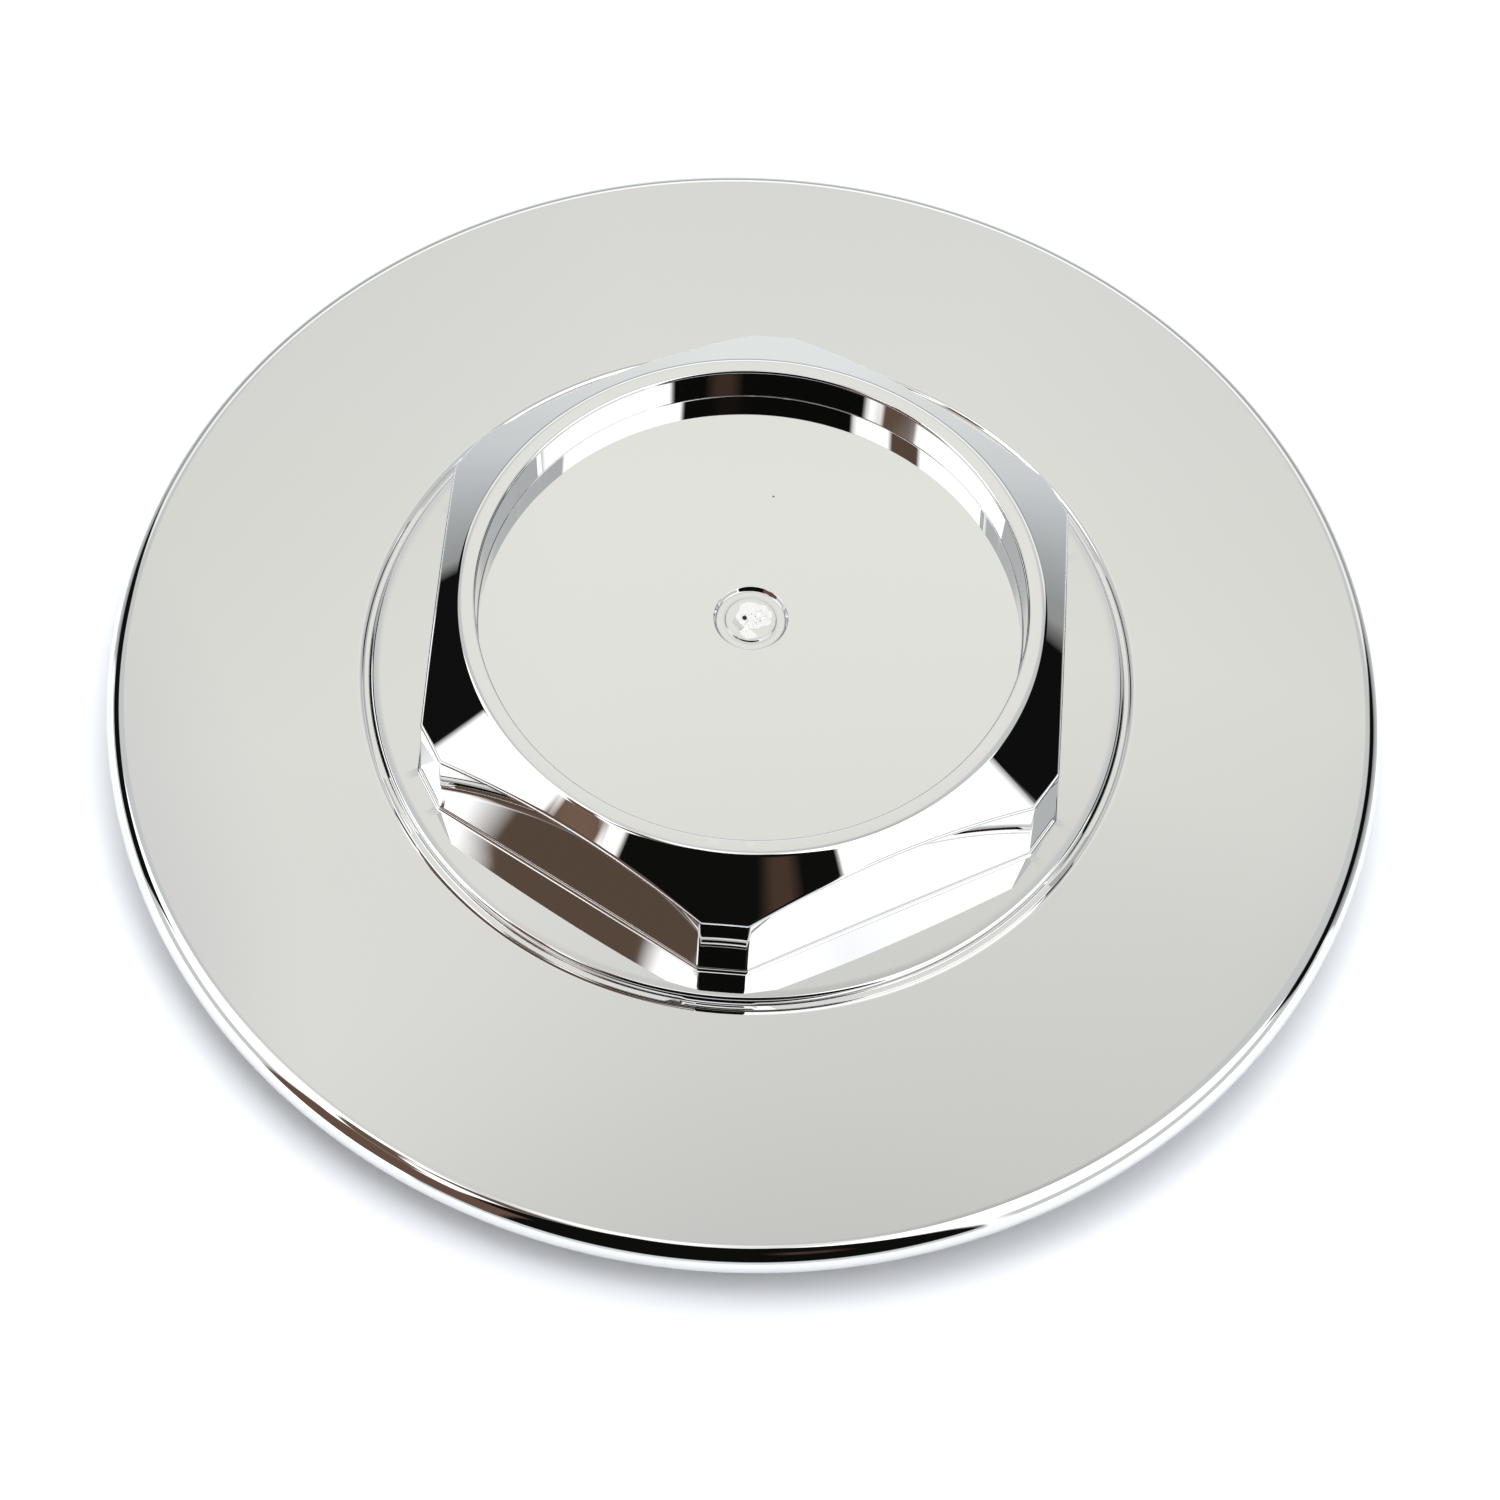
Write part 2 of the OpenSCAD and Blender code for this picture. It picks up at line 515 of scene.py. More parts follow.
@dataclass(frozen=True)
class TornGate:
    """The torn stub where the moulding's gate was cut off, with a small pit."""

    sizes: CapSizes = field(default_factory=CapSizes)
    seed: Place = (3.1, 7.7, 1.3)
    stretch: float = 1.25
    bulge: float = 0.45
    bulge_turn: float = 0.6
    height: float = 0.16
    grain_scale: float = 1.9
    grain_height: float = 0.22
    pit: Point = (-0.75, -0.35)
    pit_spread: float = 0.08
    pit_depth: float = 0.14
    margin: float = 0.3

    def rise(self, point: Vector) -> float:
        """Height that the stub adds at a point of the pad.

        Args:
            point: The point, in millimetres from the leg tips' middle.

        Returns:
            The added height, below zero in the pit.
        """
        spread, angle = math.hypot(point.x, point.y), math.atan2(point.y, point.x)
        lobes = self.stretch + self.bulge * math.sin(2 * angle + self.bulge_turn)
        body = max(0.0, 1.0 - (spread / (self.sizes.stub_r * lobes)) ** 2)
        grain = noise.fractal(point * self.grain_scale + Vector(self.seed), 1.0, 2.2, 4)
        aside, along = point.x - self.pit[0], point.y - self.pit[1]
        dent = math.exp(-((aside**2 + along**2) / self.pit_spread))
        return body**0.5 * (self.height + self.grain_height * grain) - self.pit_depth * dent


@dataclass
class CapMoulding:
    """The whole cap: flange, ring, hub, recess, collar, legs and ribs."""

    sizes: CapSizes = field(default_factory=CapSizes)
    columns: Columns = field(default_factory=Columns)
    leg_sunk: float = 0.03
    leg_steps: int = 10
    leg_soft: float = 0.18
    rib_soft: float = 0.2
    sharp_turn: float = 25.0

    def build(self) -> bpy.types.Object:
        """Builds the moulding as one object in place of the solid.

        Returns:
            The finished object, in metres.
        """
        bm = bmesh.new()
        self._turn_section(bm)
        self._roughen_gate(bm)
        bmesh.ops.recalc_face_normals(bm, faces=bm.faces)
        self._add_legs(bm)
        self._add_ribs(bm)
        bmesh.ops.scale(bm, vec=Vector((MM, MM, MM)), verts=bm.verts)
        for face in bm.faces:
            face.smooth = True
        mesh = bpy.data.meshes.new("center_cap_shell")
        bm.to_mesh(mesh)
        bm.free()
        piece = add_object("center_cap_shell", mesh)
        weighted = piece.modifiers.new("even_normals", "WEIGHTED_NORMAL")
        weighted.mode = "FACE_AREA"
        weighted.weight = 50
        log.info("center_cap_shell: %d faces", len(mesh.polygons))
        return piece

    def _turn_section(self, bm: bmesh.types.BMesh) -> None:
        """Turns the section round the axis, and presses the hexagon into the hub.

        Args:
            bm: The mesh that gets the moulding.
        """
        section = CapSection(self.sizes)
        row = bm.verts.layers.int.new("row")
        chain = []
        for index, (radius, height) in enumerate(section.points(-90.0)):
            chain.append(bm.verts.new((0.0, -radius, height)))
            chain[-1][row] = index
        edges = [bm.edges.new(pair) for pair in zip(chain, chain[1:])]
        bmesh.ops.spin(
            bm,
            geom=chain + edges,
            cent=ORIGIN,
            axis=UPWARDS,
            angle=math.tau,
            steps=self.columns.count,
            use_merge=True,
            use_duplicate=False,
        )
        step = 360.0 / self.columns.count
        azimuths = [self.columns.azimuth(i) for i in range(self.columns.count)]
        shapes = [section.points(azimuth) for azimuth in azimuths]
        for vert in bm.verts:
            if math.hypot(vert.co.x, vert.co.y) < TOUCHING:
                continue
            turned = math.degrees(math.atan2(vert.co.y, vert.co.x)) + 90.0
            index = round(turned / step) % self.columns.count
            radius, height = shapes[index][vert[row]]
            angle = math.radians(azimuths[index])
            vert.co = (radius * math.cos(angle), radius * math.sin(angle), height)
        bmesh.ops.remove_doubles(bm, verts=bm.verts, dist=TOUCHING)

    def _roughen_gate(self, bm: bmesh.types.BMesh) -> None:
        """Raises the torn stub of the gate and its small pit on the pad.

        Args:
            bm: The mesh that holds the moulding.
        """
        s, gate = self.sizes, TornGate(self.sizes)
        reach, upper = s.pad_r - gate.margin, (s.cup_under + s.floor_z) / 2
        for vert in bm.verts:
            if math.hypot(vert.co.x, vert.co.y) <= reach and vert.co.z > upper:
                vert.co.z += gate.rise(vert.co)

    def _add_legs(self, bm: bmesh.types.BMesh) -> None:
        """Adds the ring of snap legs, each sunk a little into the collar.

        Args:
            bm: The mesh that gets the legs.
        """
        s = self.sizes
        sweep = math.radians(360.0 / s.legs * s.leg_share)
        inner = s.collar_r - s.collar_t + self.leg_sunk
        outer = s.collar_r - self.leg_sunk
        barb_z = 0.55 * s.lip_z
        section = [
            (inner, s.collar_low + 1.0),
            (inner, 0.5),
            (inner + 0.5, 0.0),
            (outer - 0.4, 0.0),
            (outer + s.barb_out, barb_z - 0.9),
            (outer + s.barb_out, barb_z - 0.4),
            (outer, barb_z),
            (outer, s.collar_low + 1.0),
        ]
        leg = bmesh.new()
        verts = [leg.verts.new((radius, 0.0, height)) for radius, height in section]
        start = leg.faces.new(verts)
        turned = Matrix.Rotation(-sweep / 2, 3, "Z")
        bmesh.ops.rotate(leg, verts=verts, cent=ORIGIN, matrix=turned)
        bmesh.ops.spin(
            leg,
            geom=[start] + list(start.edges) + verts,
            cent=ORIGIN,
            axis=UPWARDS,
            angle=sweep,
            steps=self.leg_steps,
            use_merge=False,
            use_duplicate=False,
        )
        self._finish_and_repeat(leg, bm, self.leg_soft)

    def _add_ribs(self, bm: bmesh.types.BMesh) -> None:
        """Adds the ribs between the hub's corner walls and the collar.

        Args:
            bm: The mesh that gets the ribs.
        """
        s = self.sizes
        inner, outer = s.corner_r - 0.6 * s.wall, s.collar_r - 0.5 * s.collar_t
        rib = bmesh.new()
        for vert in bmesh.ops.create_cube(rib, size=1.0)["verts"]:
            far, high = vert.co.x > 0, vert.co.z > 0
            top = s.foot_z - 0.5 if far else s.ring_under + 0.5
            low = s.collar_low - 1.5 if far else s.ring_under - 1.0
            vert.co.x = outer if far else inner
            vert.co.y *= s.rib_t
            vert.co.z = top if high else low
        self._finish_and_repeat(rib, bm, self.rib_soft)

    def _finish_and_repeat(
        self, part: bmesh.types.BMesh, bm: bmesh.types.BMesh, soften: float
    ) -> None:
        """Softens a part's edges and sets one copy at each leg.

        Args:
            part: The part, centred on the X axis. It is freed afterwards.
            bm: The mesh that gets the copies.
            soften: Width of the rounding on the part's sharp edges.
        """
        bmesh.ops.recalc_face_normals(part, faces=part.faces)
        turn = math.radians(self.sharp_turn)
        sharp = [edge for edge in part.edges if edge.calc_face_angle(0.0) > turn]
        bmesh.ops.bevel(
            part,
            geom=sharp,
            offset=soften,
            offset_type="OFFSET",
            segments=2,
            profile=0.5,
            affect="EDGES",
            clamp_overlap=True,
            material=-1,
        )
        single = bpy.data.meshes.new("part")
        part.to_mesh(single)
        part.free()
        pitch = math.tau / self.sizes.legs
        for index in range(self.sizes.legs):
            before = set(bm.verts)
            bm.from_mesh(single)
            fresh = [vert for vert in bm.verts if vert not in before]
            turned = Matrix.Rotation(pitch * (index + 0.5), 3, "Z")
            bmesh.ops.rotate(bm, verts=fresh, cent=ORIGIN, matrix=turned)
        bpy.data.meshes.remove(single)


class NodeSheet:
    """A node tree with short ways to add and join its nodes."""

    def __init__(self, tree: bpy.types.NodeTree) -> None:
        """Keeps the tree that the nodes go into."""
        self.tree = tree

    def add(self, kind: str, **settings: object) -> bpy.types.Node:
        """Adds one node.

        Args:
            kind: The node's type.
            settings: Properties that are set on the node.

        Returns:
            The new node.
        """
        node = self.tree.nodes.new(kind)
        for name, value in settings.items():
            setattr(node, name, value)
        return node

    def feed(self, socket: bpy.types.NodeSocket, value: object) -> None:
        """Joins an output to a socket, or sets the socket's constant.

        Args:
            socket: The input that is fed.
            value: An output socket, or the constant.
        """
        if isinstance(value, bpy.types.NodeSocket):
            self.tree.links.new(value, socket)
        else:
            socket.default_value = value

    def math(
        self, operation: str, *values: object, clamp: bool = False
    ) -> bpy.types.NodeSocket:
        """Adds one sum.

        Args:
            operation: The kind of sum.
            values: Its inputs, each a socket or a number.
            clamp: Whether the result is kept between 0 and 1.

        Returns:
            The result's socket.
        """
        node = self.add("ShaderNodeMath", operation=operation, use_clamp=clamp)
        for socket, value in zip(node.inputs, values):
            self.feed(socket, value)
        return node.outputs[0]

    def blend(self, share: object, first: object, second: object) -> bpy.types.NodeSocket:
        """Mixes two colours.

        Args:
            share: How much of the second colour is used.
            first: The first colour.
            second: The second colour.

        Returns:
            The mixed colour's socket.
        """
        node = self.add("ShaderNodeMix", data_type="RGBA", clamp_factor=True)
        self.feed(node.inputs["Factor"], share)
        self.feed(node.inputs[6], first)
        self.feed(node.inputs[7], second)
        return node.outputs[2]

    def use(self, group: bpy.types.NodeTree, **values: object) -> bpy.types.Node:
        """Adds a shared group and feeds its inputs by name.

        Args:
            group: The shared group.
            values: A socket or a constant for each of its inputs.

        Returns:
            The group's node.
        """
        node = self.add("ShaderNodeGroup", node_tree=group)
        for name, value in values.items():
            self.feed(node.inputs[name], value)
        return node


def start_group(name: str, inputs: dict[str, str], outputs: dict[str, str]) -> NodeSheet:
    """Starts a shader node group.

    Args:
        name: The group's name.
        inputs: Socket types of its inputs, by name.
        outputs: Socket types of its outputs, by name.

    Returns:
        The group's sheet.
    """
    tree = bpy.data.node_groups.new(name, "ShaderNodeTree")
    for label, kind in inputs.items():
        tree.interface.new_socket(label, in_out="INPUT", socket_type=kind)
    for label, kind in outputs.items():
        tree.interface.new_socket(label, in_out="OUTPUT", socket_type=kind)
    return NodeSheet(tree)


@dataclass(frozen=True)
class Spot:
    """A round mark in the plating, with its place and radius in metres."""

    place: Place
    radius: float


@dataclass(frozen=True)
class ChromePlate:
    """Bright chrome plating on moulded plastic, torn at the gate and duller on the back."""

    name: str = "chrome_plate"
    tint: Colour = (0.72, 0.72, 0.72)
    torn_tint: Colour = (0.97, 0.97, 0.96)
    speck_tint: Colour = (0.03, 0.03, 0.03)
    torn_spots: tuple[Spot, ...] = (
        Spot((0.0003, 0.0005, 0.0219), 0.0023),
        Spot((-0.0003, -0.0021, 0.0219), 0.0011),
    )
    torn_edge: float = 0.0002
    torn_swing: float = 0.0011
    speck_spots: tuple[Spot, ...] = (
        Spot((0.0016, 0.0189, 0.0221), 0.0002),
        Spot((-0.0008, 0.0001, 0.0219), 0.0004),
    )
    speck_edge: float = 0.00015
    grain_scale: float = 700.0
    polish: float = 0.015
    back_dull: float = 0.16
    back_blend: float = 4.0
    torn_dull: float = 0.4
    wave_scale: float = 42.0
    wave_depth: float = 0.000012
    torn_scale: float = 1100.0
    torn_depth: float = 0.00004

    def material(self) -> bpy.types.Material:
        """Makes the plating's material.

        Returns:
            The finished material.
        """
        material = bpy.data.materials.new(self.name)
        material.use_nodes = True
        sheet = NodeSheet(material.node_tree)
        shader = material.node_tree.nodes["Principled BSDF"]
        place = sheet.add("ShaderNodeTexCoord").outputs["Object"]
        wear = sheet.use(self._wear_group(), Place=place)
        relief = sheet.use(self._relief_group(), Place=place, Torn=wear.outputs["Torn"])
        facing = sheet.add("ShaderNodeSeparateXYZ")
        sheet.feed(facing.inputs[0], sheet.add("ShaderNodeNewGeometry").outputs["Normal"])
        under = sheet.math("MULTIPLY", facing.outputs["Z"], -self.back_blend, clamp=True)
        dull = sheet.math("MULTIPLY_ADD", under, self.back_dull, self.polish)
        torn = sheet.math("MULTIPLY", wear.outputs["Torn"], self.torn_dull)
        sheet.feed(shader.inputs["Roughness"], sheet.math("ADD", dull, torn))
        plain, bare = (*self.tint, 1.0), (*self.torn_tint, 1.0)
        colour = sheet.blend(wear.outputs["Torn"], plain, bare)
        colour = sheet.blend(wear.outputs["Specks"], colour, (*self.speck_tint, 1.0))
        sheet.feed(shader.inputs["Base Color"], colour)
        sheet.feed(shader.inputs["Normal"], relief.outputs["Normal"])
        shader.inputs["Metallic"].default_value = 1.0
        return material

    def _wear_group(self) -> bpy.types.NodeTree:
        """Makes the group that masks the torn gate and the specks in the plating.

        Returns:
            The group, with one mask for each kind of wear.
        """
        sheet = start_group(
            "plating_wear",
            {"Place": "NodeSocketVector"},
            {"Torn": "NodeSocketFloat", "Specks": "NodeSocketFloat"},
        )
        start, end = sheet.add("NodeGroupInput"), sheet.add("NodeGroupOutput")
        place = start.outputs["Place"]
        grain = sheet.add("ShaderNodeTexNoise")
        sheet.feed(grain.inputs["Vector"], place)
        grain.inputs["Scale"].default_value = self.grain_scale
        grain.inputs["Detail"].default_value = 3.0
        swing = self.torn_swing
        ragged = sheet.math("MULTIPLY_ADD", grain.outputs[0], 2 * swing, -swing)
        for label, spots, edge, shift in (
            ("Torn", self.torn_spots, self.torn_edge, ragged),
            ("Specks", self.speck_spots, self.speck_edge, 0.0),
        ):
            mask: object = 0.0
            for spot in spots:
                away = sheet.add("ShaderNodeVectorMath", operation="DISTANCE")
                sheet.feed(away.inputs[0], place)
                sheet.feed(away.inputs[1], spot.place)
                reach = sheet.math("ADD", away.outputs["Value"], shift)
                inside = sheet.math("SUBTRACT", spot.radius, reach)
                patch = sheet.math("DIVIDE", inside, edge, clamp=True)
                mask = sheet.math("MAXIMUM", mask, patch)
            sheet.feed(end.inputs[label], mask)
        return sheet.tree

    def _relief_group(self) -> bpy.types.NodeTree:
        """Makes the group that tilts the normal over the moulding's gentle waves.

        Returns:
            The group, with the tilted normal.
        """
        sheet = start_group(
            "plating_relief",
            {"Place": "NodeSocketVector", "Torn": "NodeSocketFloat"},
            {"Normal": "NodeSocketVector"},
        )
        start, end = sheet.add("NodeGroupInput"), sheet.add("NodeGroupOutput")
        waves = sheet.add("ShaderNodeTexNoise")
        crumbs = sheet.add("ShaderNodeTexNoise")
        for node, scale, detail in (
            (waves, self.wave_scale, 1.0),
            (crumbs, self.torn_scale, 4.0),
        ):
            sheet.feed(node.inputs["Vector"], start.outputs["Place"])
            node.inputs["Scale"].default_value = scale
            node.inputs["Detail"].default_value = detail
        gentle = sheet.add("ShaderNodeBump")
        gentle.inputs["Distance"].default_value = self.wave_depth
        sheet.feed(gentle.inputs["Height"], waves.outputs[0])
        rough = sheet.add("ShaderNodeBump")
        rough.inputs["Distance"].default_value = self.torn_depth
        torn = sheet.math("MULTIPLY", crumbs.outputs[0], start.outputs["Torn"])
        sheet.feed(rough.inputs["Height"], torn)
        sheet.feed(rough.inputs["Normal"], gentle.outputs[0])
        sheet.feed(end.inputs["Normal"], rough.outputs[0])
        return sheet.tree


@dataclass(frozen=True)
class Card:
    """One card of the studio, seen from the cap as a soft-edged patch of the sky."""

    name: str
    azimuth: Span
    elevation: Span
    colour: Colour
    feather: float = 2.0
    lean: float = 0.0


STUDIO_CARDS = (
    Card("grey_side_left", (-154, -90), (41, 68), (0.74, 0.765, 0.775), 9.0),
    Card("grey_side_right", (90, 154), (41, 68), (0.74, 0.765, 0.775), 9.0),
    Card("softbox_right", (38, 97.5), (-4, 83), (2.0, 2.0, 2.0), 1.5),
    Card("softbox_left", (-117, -40), (-4, 75), (2.0, 2.0, 2.0), 2.5),
    Card("low_grey_right", (40, 97.5), (7, 30), (0.78, 0.79, 0.80), 5.0),
    Card("low_grey_left", (-117, -61), (7, 30), (0.78, 0.79, 0.80), 5.0),
    Card("pale_fold", (73, 90), (69, 80), (1.6, 1.64, 1.72), 4.0),
    Card("brown_low", (-61.5, -46.5), (3, 50.5), (0.22, 0.14, 0.10), 1.8),
    Card("brown_high", (-59.5, -44), (50, 69), (0.165, 0.11, 0.08), 2.4, -1.38),
    Card("brown_top", (-66, -39), (64, 77), (0.165, 0.11, 0.08), 2.4),
    Card("brown_fold", (-84.7, -74.5), (65, 72.5), (0.165, 0.11, 0.08), 1.6),
    Card("black_front", (-38.5, 37), (7, 83), (0.006, 0.006, 0.0055), 1.5),
    Card("brown_floor", (-64, -27), (4, 46), (0.17, 0.10, 0.075), 2.0),
    Card("dim_brown", (12, 22), (46, 58), (0.08, 0.048, 0.034), 5.0),
    Card("black_right", (90, 133), (19, 40), (0.006, 0.006, 0.006), 3.0),
    Card("black_left", (-135, -93), (16, 41), (0.007, 0.007, 0.007), 1.8),
)

BACKDROP_TONES: tuple[tuple[float, Colour], ...] = (
    (-10, (0.99, 1.04, 1.02)),
    (2, (0.92, 0.96, 0.98)),
    (6, (0.80, 0.83, 0.85)),
    (10, (0.66, 0.69, 0.70)),
    (15, (0.52, 0.54, 0.54)),
    (19, (0.50, 0.51, 0.50)),
    (23, (0.95, 0.95, 0.95)),
    (28, (1.5, 1.5, 1.5)),
    (34, (1.5, 1.5, 1.5)),
    (39, (0.99, 0.99, 0.97)),
    (44, (0.91, 0.91, 0.885)),
    (48, (0.95, 0.95, 0.91)),
    (52, (1.01, 1.01, 0.96)),
    (56, (1.06, 1.055, 1.0)),
    (59, (1.035, 1.03, 0.98)),
    (62, (0.97, 0.965, 0.92)),
    (65, (0.925, 0.92, 0.88)),
    (68, (0.87, 0.865, 0.83)),
    (71, (0.77, 0.77, 0.75)),
    (79, (0.75, 0.75, 0.73)),
    (83, (1.3, 1.3, 1.3)),
    (90, (1.4, 1.4, 1.4)),
)


@dataclass
class StudioSky:
    """The studio round the cap: a graded backdrop, two softboxes and tinted cards.

    The cap mirrors it as it is, the camera sees white, and the floor gets it as fill light.
    """

    cards: tuple[Card, ...] = STUDIO_CARDS
    tones: tuple[tuple[float, Colour], ...] = BACKDROP_TONES
    peak: float = 2.0
    fill: float = 1.5
    high_from: float = 56.0
    high_blend: float = 10.0
    high_right_dim: float = 0.22
    low_side_dim: float = 0.36
    side_from: float = 0.1

    def build(self) -> bpy.types.World:
        """Makes the world that lights the cap and is mirrored in it.

        Returns:
            The finished world, white where the camera sees it.
        """
        world = bpy.data.worlds.new("studio")
        world.use_nodes = True
        sheet = NodeSheet(world.node_tree)
        world.node_tree.nodes.clear()
        place = sheet.add("ShaderNodeTexCoord").outputs["Generated"]
        angles = sheet.use(self._angles_group(), Direction=place)
        azimuth, elevation = angles.outputs["Azimuth"], angles.outputs["Elevation"]
        backdrop = self._backdrop_group()
        shade = sheet.use(backdrop, Azimuth=azimuth, Elevation=elevation).outputs["Colour"]
        group = self._card_group()
        for card in self.cards:
            mask = sheet.use(
                group,
                Azimuth=azimuth,
                Elevation=elevation,
                Left=card.azimuth[0],
                Right=card.azimuth[1],
                Bottom=card.elevation[0],
                Top=card.elevation[1],
                Feather=card.feather,
                Lean=card.lean,
            )
            mask.label = card.name
            shade = sheet.blend(mask.outputs["Mask"], shade, (*card.colour, 1.0))
        path = sheet.add("ShaderNodeLightPath").outputs
        shade = sheet.blend(path["Is Camera Ray"], shade, (1.0, 1.0, 1.0, 1.0))
        light = sheet.add("ShaderNodeBackground")
        sheet.feed(light.inputs["Color"], shade)
        sharp = sheet.math("MAXIMUM", path["Is Camera Ray"], path["Is Glossy Ray"])
        spare = sheet.math("MULTIPLY_ADD", sharp, 1.0 - self.fill, self.fill)
        sheet.feed(light.inputs["Strength"], spare)
        end = sheet.add("ShaderNodeOutputWorld")
        sheet.feed(end.inputs["Surface"], light.outputs[0])
        return world

    def _angles_group(self) -> bpy.types.NodeTree:
        """Makes the group that turns a direction into azimuth and elevation in degrees.

        Returns:
            The group, with azimuth 0 towards the camera's side.
        """
        sheet = start_group(
            "direction_angles",
            {"Direction": "NodeSocketVector"},
            {"Azimuth": "NodeSocketFloat", "Elevation": "NodeSocketFloat"},
        )
        start, end = sheet.add("NodeGroupInput"), sheet.add("NodeGroupOutput")
        split = sheet.add("ShaderNodeSeparateXYZ")
        sheet.feed(split.inputs[0], start.outputs["Direction"])
        ahead = sheet.math("MULTIPLY", split.outputs["Y"], -1.0)
        turn = sheet.math("ARCTAN2", split.outputs["X"], ahead)
        climb = sheet.math("ARCSINE", split.outputs["Z"])
        sheet.feed(end.inputs["Azimuth"], sheet.math("DEGREES", turn))
        sheet.feed(end.inputs["Elevation"], sheet.math("DEGREES", climb))
        return sheet.tree

    def _card_group(self) -> bpy.types.NodeTree:
        """Makes the group that masks one soft-edged card.

        Returns:
            The group, with the card's mask.
        """
        names = "Azimuth Elevation Left Right Bottom Top Feather Lean".split()
        floats = dict.fromkeys(names, "NodeSocketFloat")
        sheet = start_group("soft_card", floats, {"Mask": "NodeSocketFloat"})
        start, end = sheet.add("NodeGroupInput"), sheet.add("NodeGroupOutput")
        given = {name: start.outputs[name] for name in names}
        above = sheet.math("SUBTRACT", given["Elevation"], given["Bottom"])
        shift = sheet.math("MULTIPLY", above, given["Lean"])
        turned = sheet.math("SUBTRACT", given["Azimuth"], shift)
        mask: object = 1.0
        for low, high in (
            (given["Left"], turned),
            (turned, given["Right"]),
            (given["Bottom"], given["Elevation"]),
            (given["Elevation"], given["Top"]),
        ):
            inside = sheet.math("SUBTRACT", high, low)
            soft = sheet.math("DIVIDE", inside, given["Feather"])
            edge = sheet.math("ADD", soft, 0.5, clamp=True)
            mask = sheet.math("MULTIPLY", mask, edge)
        sheet.feed(end.inputs["Mask"], mask)
        return sheet.tree

    def _backdrop_group(self) -> bpy.types.NodeTree:
        """Makes the group that grades the backdrop by height and dims its sides.

        Returns:
            The group, with the backdrop's colour.
        """
        sheet = start_group(
            "graded_backdrop",
            {"Azimuth": "NodeSocketFloat", "Elevation": "NodeSocketFloat"},
            {"Colour": "NodeSocketColor"},
        )
        start, end = sheet.add("NodeGroupInput"), sheet.add("NodeGroupOutput")
        low, high = self.tones[0][0], self.tones[-1][0]
        height = sheet.math("SUBTRACT", start.outputs["Elevation"], low)
        share = sheet.math("DIVIDE", height, high - low, clamp=True)
        ramp = sheet.add("ShaderNodeValToRGB")
        stops = ramp.color_ramp.elements
        stops[0].position, stops[1].position = 0.0, 1.0
        for climb, _ in self.tones[1:-1]:
            stops.new((climb - low) / (high - low))
        for stop, (_, colour) in zip(stops, self.tones):
            stop.color = (*(part / self.peak for part in colour), 1.0)
        sheet.feed(ramp.inputs[0], share)
        turn = sheet.math("SINE", sheet.math("RADIANS", start.outputs["Azimuth"]))
        rise = sheet.math("SUBTRACT", start.outputs["Elevation"], self.high_from)
        upper = sheet.math("DIVIDE", rise, self.high_blend, clamp=True)
        side = sheet.math("MULTIPLY", turn, upper)
        right_dim = self.high_right_dim * self.peak
        side_dim = self.low_side_dim * self.peak
        dim = sheet.math("MULTIPLY_ADD", side, -right_dim, self.peak)
        wide = sheet.math("ABSOLUTE", turn)
        aside = sheet.math("SUBTRACT", wide, self.side_from, clamp=True)
        lower = sheet.math("MULTIPLY", aside, sheet.math("SUBTRACT", 1.0, upper))
        dim = sheet.math("MULTIPLY_ADD", lower, -side_dim, dim)
        scale = sheet.add("ShaderNodeVectorMath", operation="SCALE")
        sheet.feed(scale.inputs[0], ramp.outputs["Color"])
        sheet.feed(scale.inputs["Scale"], dim)
        sheet.feed(end.inputs["Colour"], scale.outputs[0])
        return sheet.tree


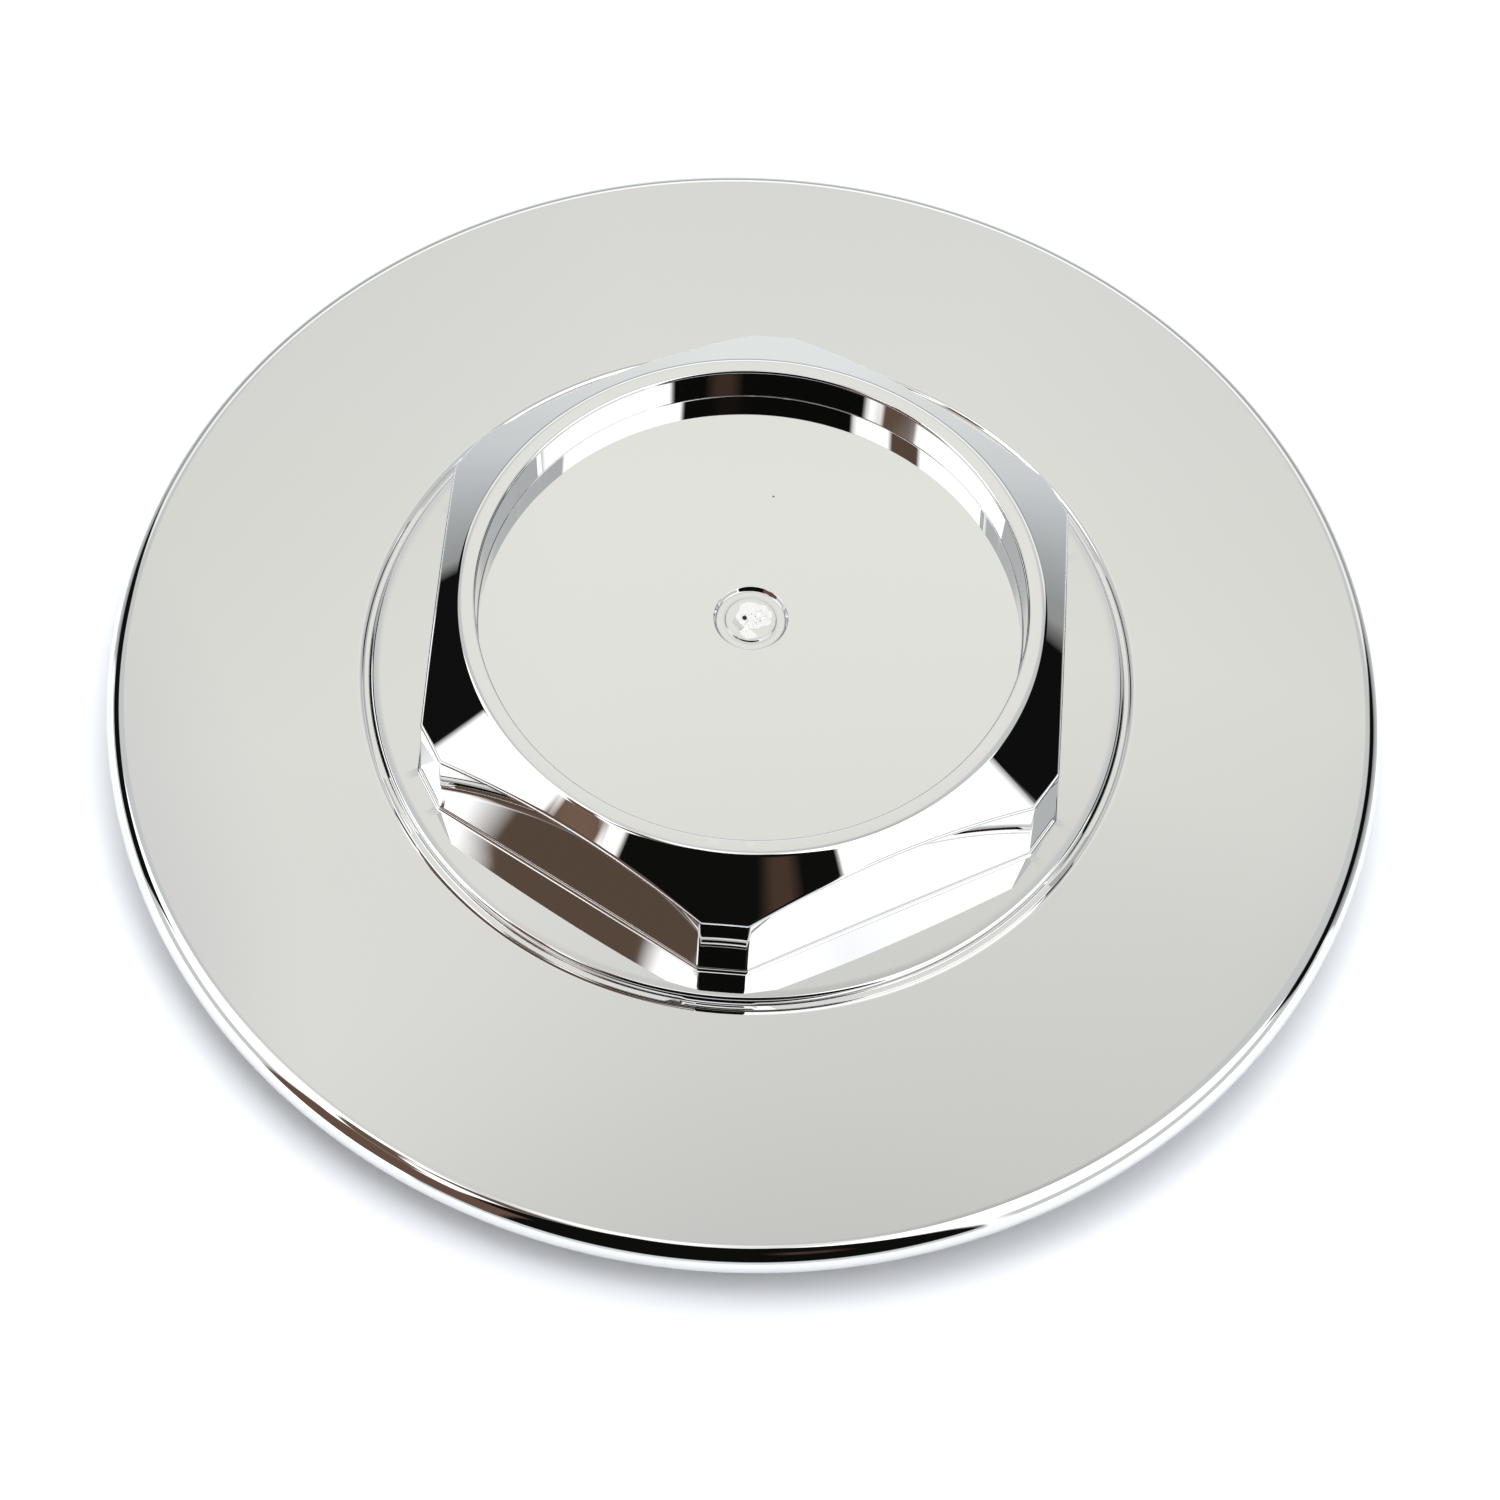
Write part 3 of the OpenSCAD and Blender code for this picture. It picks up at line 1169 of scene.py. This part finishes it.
@dataclass
class Studio:
    """The pale floor, the studio's light and the camera."""

    floor_reach: float = 0.15
    floor_tone: Colour = (0.87, 0.9, 0.94)
    floor_rough: float = 0.9
    lamp_climb: float = 62.0
    lamp_strength: float = 1.2
    lamp_spread: float = 60.0
    camera_climb: float = 59.47
    camera_roll: float = 3.88
    camera_turn: float = 0.71
    camera_aim: Place = (1.03, -9.94, CapSizes.lip_z)
    camera_distance: float = 509.0
    lens: float = 94.34

    def build(self) -> None:
        """Sets up the floor, the light and the camera."""
        self._floor()
        bpy.context.scene.world = StudioSky().build()
        self._lamp()
        self._camera()
        bpy.context.scene.view_settings.view_transform = "Standard"

    def _floor(self) -> None:
        """Lays the pale floor under the leg tips."""
        bm = bmesh.new()
        bmesh.ops.create_grid(bm, x_segments=1, y_segments=1, size=self.floor_reach)
        mesh = bpy.data.meshes.new("floor")
        bm.to_mesh(mesh)
        bm.free()
        mesh.materials.append(self._paper())
        floor = add_object("floor", mesh)

    def _paper(self) -> bpy.types.Material:
        """Makes the floor's paper, which is clear when it is seen from below.

        Returns:
            The finished material.
        """
        material = bpy.data.materials.new("floor_paper")
        material.use_nodes = True
        sheet = NodeSheet(material.node_tree)
        shader = sheet.tree.nodes["Principled BSDF"]
        shader.inputs["Base Color"].default_value = (*self.floor_tone, 1.0)
        shader.inputs["Roughness"].default_value = self.floor_rough
        shader.inputs["Specular IOR Level"].default_value = 0.0
        clear = sheet.add("ShaderNodeBsdfTransparent")
        either = sheet.add("ShaderNodeMixShader")
        below = sheet.add("ShaderNodeNewGeometry").outputs["Backfacing"]
        sides = (below, shader.outputs[0], clear.outputs[0])
        for socket, value in zip(either.inputs, sides):
            sheet.feed(socket, value)
        end = sheet.tree.nodes["Material Output"]
        sheet.feed(end.inputs["Surface"], either.outputs[0])
        return material

    def _lamp(self) -> None:
        """Hangs the broad soft lamp above and behind the cap."""
        data = bpy.data.lights.new("top_lamp", "SUN")
        data.energy = self.lamp_strength
        data.angle = math.radians(self.lamp_spread)
        lamp = add_object("top_lamp", data)
        lean = math.radians(90.0 - self.lamp_climb)
        lamp.matrix_world = Matrix.Rotation(-lean, 4, "X")
        lamp.visible_glossy = False

    def _camera(self) -> None:
        """Places the camera at the photograph's viewing angle."""
        angles = (self.camera_climb, self.camera_roll, self.camera_turn)
        climb, roll, turn = map(math.radians, angles)
        right = Vector((1.0, 0.0, 0.0))
        up = Vector((0.0, math.sin(climb), math.cos(climb)))
        back = Vector((0.0, -math.cos(climb), math.sin(climb)))
        side = right * math.cos(roll) + up * math.sin(roll)
        top = up * math.cos(roll) - right * math.sin(roll)
        basis = Matrix((side, top, back)).transposed().to_4x4()
        place = Vector(self.camera_aim) + back * self.camera_distance
        data = bpy.data.cameras.new("camera")
        data.lens = self.lens
        data.sensor_width = 36.0
        data.clip_start = 0.01
        camera = add_object("camera", data)
        spun = Matrix.Rotation(turn, 4, "Z")
        camera.matrix_world = spun @ Matrix.Translation(place * MM) @ basis
        bpy.context.scene.camera = camera


def main() -> None:
    """Builds the cap and its studio."""
    logging.basicConfig(level=logging.INFO, format="%(name)s %(message)s")
    cap = CapMoulding().build()
    cap.data.materials.append(ChromePlate().material())
    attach(cap, "root")
    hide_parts("center_cap")
    Studio().build()


if __name__ == "__main__":
    main()
